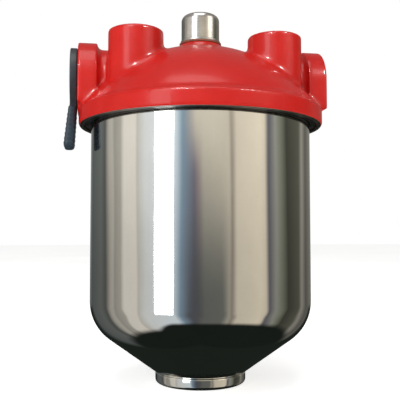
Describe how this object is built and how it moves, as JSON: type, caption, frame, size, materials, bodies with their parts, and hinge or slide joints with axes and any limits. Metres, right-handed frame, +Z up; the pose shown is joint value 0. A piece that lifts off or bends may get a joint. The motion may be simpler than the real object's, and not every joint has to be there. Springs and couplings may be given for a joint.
{
  "type": "magnetic system filter",
  "caption": "Magnetic dirt filter for heating pipework: red cast head with upright ports and valves, lift-out magnet in a dry pocket, strainer and polished steel bowl on a threaded ring.",
  "frame": {"origin": "on the bowl's axis at the underside of the foot collar", "axes": "+Z up along the bowl's axis, -X towards the inlet port and its lever, -Y towards the side that the ports stand on"},
  "size_m": [0.1678, 0.158, 0.2394],
  "materials": {
    "red_casting": "gloss red enamel on cast metal",
    "polished_steel": "mirror-polished stainless steel",
    "nickel_cap": "fine turned nickel finish",
    "satin_steel": "satin stainless steel",
    "dark_steel": "blackened steel",
    "brass": "machined brass",
    "rubber": "matt black rubber",
    "fibre": "brown fibre seal or washer",
    "slip_plastic": "natural low-friction plastic",
    "moulding": "black moulded plastic",
    "lever_coat": "satin charcoal coating on steel",
    "grip_plastic": "blue-black moulded plastic",
    "magnet_nickel": "nickel-plated magnet"
  },
  "bodies": {
    "head": {"head_casting": "red_casting", "inlet_gland": "brass", "outlet_gland": "brass", "inlet_spindle_seal": "rubber", "outlet_spindle_seal": "rubber", "inlet_gland_seal": "rubber", "outlet_gland_seal": "rubber", "bowl_seal": "rubber", "magnet_pocket": "satin_steel", "pocket_gasket": "fibre", "pocket_washer": "fibre", "pocket_nut": "satin_steel", "strainer_cap": "moulding", "strainer_tube": "satin_steel", "strainer_base": "moulding", "strainer_clip": "satin_steel"},
    "bowl": {"bowl_shell": "polished_steel", "drain_socket": "polished_steel", "slip_washer": "slip_plastic"},
    "locking_ring": {"locking_ring": "dark_steel"},
    "drain_seal": {"drain_seal": "rubber"},
    "drain_plug": {"drain_plug": "brass"},
    "bleed_seal": {"bleed_seal": "rubber"},
    "bleed_screw": {"bleed_screw": "dark_steel"},
    "inlet_valve": {"inlet_barrel": "brass", "inlet_barrel_seals": "rubber", "lever_plate": "lever_coat", "lever_grip": "grip_plastic", "lever_screw": "dark_steel"},
    "outlet_valve": {"outlet_barrel": "brass", "outlet_barrel_seals": "rubber"},
    "magnet": {"magnet_cap": "nickel_cap", "cap_seal": "rubber", "magnet_rod": "satin_steel", "magnets": "magnet_nickel", "pole_pieces": "satin_steel", "rod_nut": "satin_steel"}
  },
  "joints": [
    {"name": "inlet_valve_turn", "type": "hinge", "parent": "head", "child": "inlet_valve", "pos_m": [-0.07, 0, 0.194], "axis": [-1, 0, 0], "range_deg": [0, 90]},
    {"name": "outlet_valve_turn", "type": "hinge", "parent": "head", "child": "outlet_valve", "pos_m": [0.07, 0, 0.194], "axis": [1, 0, 0], "range_deg": [0, 90]},
    {"name": "magnet_lift", "type": "slide", "parent": "head", "child": "magnet", "axis": [0, 0, 1], "range_m": [0, 0.165]},
    {"name": "bowl_drop", "type": "slide", "parent": "head", "child": "bowl", "axis": [0, 0, -1], "range_m": [0, 0.004]},
    {"name": "ring_turn", "type": "hinge", "parent": "bowl", "child": "locking_ring", "pos_m": [0, 0, 0.166], "axis": [0, 0, -1], "range_deg": [0, 720]},
    {"name": "drain_drop", "type": "slide", "parent": "bowl", "child": "drain_seal", "axis": [0, 0, -1], "range_m": [0, 0.00693]},
    {"name": "drain_turn", "type": "hinge", "parent": "drain_seal", "child": "drain_plug", "pos_m": [0, 0, 0.005], "axis": [0, 0, -1], "range_deg": [0, 1080]},
    {"name": "bleed_rise", "type": "slide", "parent": "head", "child": "bleed_seal", "axis": [0, 0, 1], "range_m": [0, 0.0026]},
    {"name": "bleed_turn", "type": "hinge", "parent": "bleed_seal", "child": "bleed_screw", "pos_m": [0, 0.04, 0.212], "axis": [0, 0, 1], "range_deg": [0, 720]}
  ],
  "couplings": [
    {"joint": "ring_turn", "follows": "bowl_drop", "rad_per_m": 3141.6},
    {"joint": "drain_turn", "follows": "drain_drop", "rad_per_m": 2721.2},
    {"joint": "bleed_rise", "follows": "bleed_turn", "m_per_rad": 0.00019894}
  ]
}
